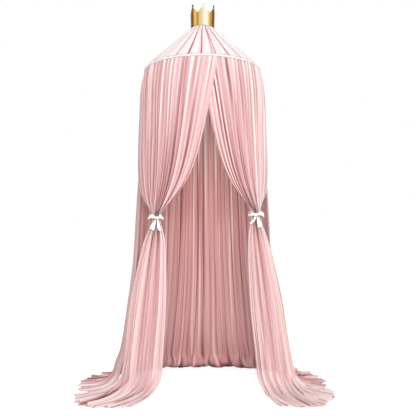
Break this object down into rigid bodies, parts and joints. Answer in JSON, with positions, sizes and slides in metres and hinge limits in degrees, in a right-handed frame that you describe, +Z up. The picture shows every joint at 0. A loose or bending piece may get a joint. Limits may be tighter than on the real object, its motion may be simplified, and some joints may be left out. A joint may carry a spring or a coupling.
{
  "type": "bed crown canopy",
  "caption": "Sheer hooped bed canopy hung from a ring inside a loose crown, with tied-back front curtains and a hem that lies on the floor.",
  "frame": {"origin": "the point where the ceiling hook bears, at the top of the inside of the hang ring", "axes": "+Z up along the hanging line, -Y out of the open front, +X to the right as seen from the front"},
  "size_m": [1.2384, 1.1215, 1.9421],
  "materials": {
    "gold_sheet": "satin gold sheet metal with soft upright reflections",
    "steel_wire": "zinc-plated wire",
    "plastic_sleeve": "moulded white plastic",
    "sheer_cloth": "sheer pink voile in soft folds",
    "white_tape": "white woven tape",
    "satin_ribbon": "white satin ribbon"
  },
  "bodies": {
    "canopy": {"roof_cloth": "sheer_cloth", "hoop_casing": "white_tape", "back_drape": "sheer_cloth", "curtain_left": "sheer_cloth", "curtain_right": "sheer_cloth", "hang_ring": "steel_wire", "hang_loop": "white_tape", "neck_binding": "white_tape", "hoop_rod_1": "steel_wire", "hoop_rod_2": "steel_wire", "hoop_rod_3": "steel_wire", "hoop_rod_4": "steel_wire", "hoop_sleeve_1": "plastic_sleeve", "hoop_sleeve_2": "plastic_sleeve", "hoop_sleeve_3": "plastic_sleeve", "hoop_sleeve_4": "plastic_sleeve"},
    "crown": {"crown_shell": "gold_sheet"},
    "tieback_left": {"tieback_left_band": "satin_ribbon", "tieback_left_knot": "satin_ribbon", "tieback_left_loop_left": "satin_ribbon", "tieback_left_loop_right": "satin_ribbon", "tieback_left_tail_left": "satin_ribbon", "tieback_left_tail_right": "satin_ribbon"},
    "tieback_right": {"tieback_right_band": "satin_ribbon", "tieback_right_knot": "satin_ribbon", "tieback_right_loop_left": "satin_ribbon", "tieback_right_loop_right": "satin_ribbon", "tieback_right_tail_left": "satin_ribbon", "tieback_right_tail_right": "satin_ribbon"}
  },
  "joints": [
    {"name": "crown_lift", "type": "slide", "parent": "canopy", "child": "crown", "axis": [0, 0, 1], "range_m": [0, 0.15]},
    {"name": "tieback_left_turn", "type": "hinge", "parent": "canopy", "child": "tieback_left", "pos_m": [-0.21519, -0.25018, -1.101], "axis": [0, 0, 1], "range_deg": [-18, 18]},
    {"name": "tieback_right_turn", "type": "hinge", "parent": "canopy", "child": "tieback_right", "pos_m": [0.25537, -0.20902, -1.083], "axis": [0, 0, 1], "range_deg": [-18, 18]}
  ]
}
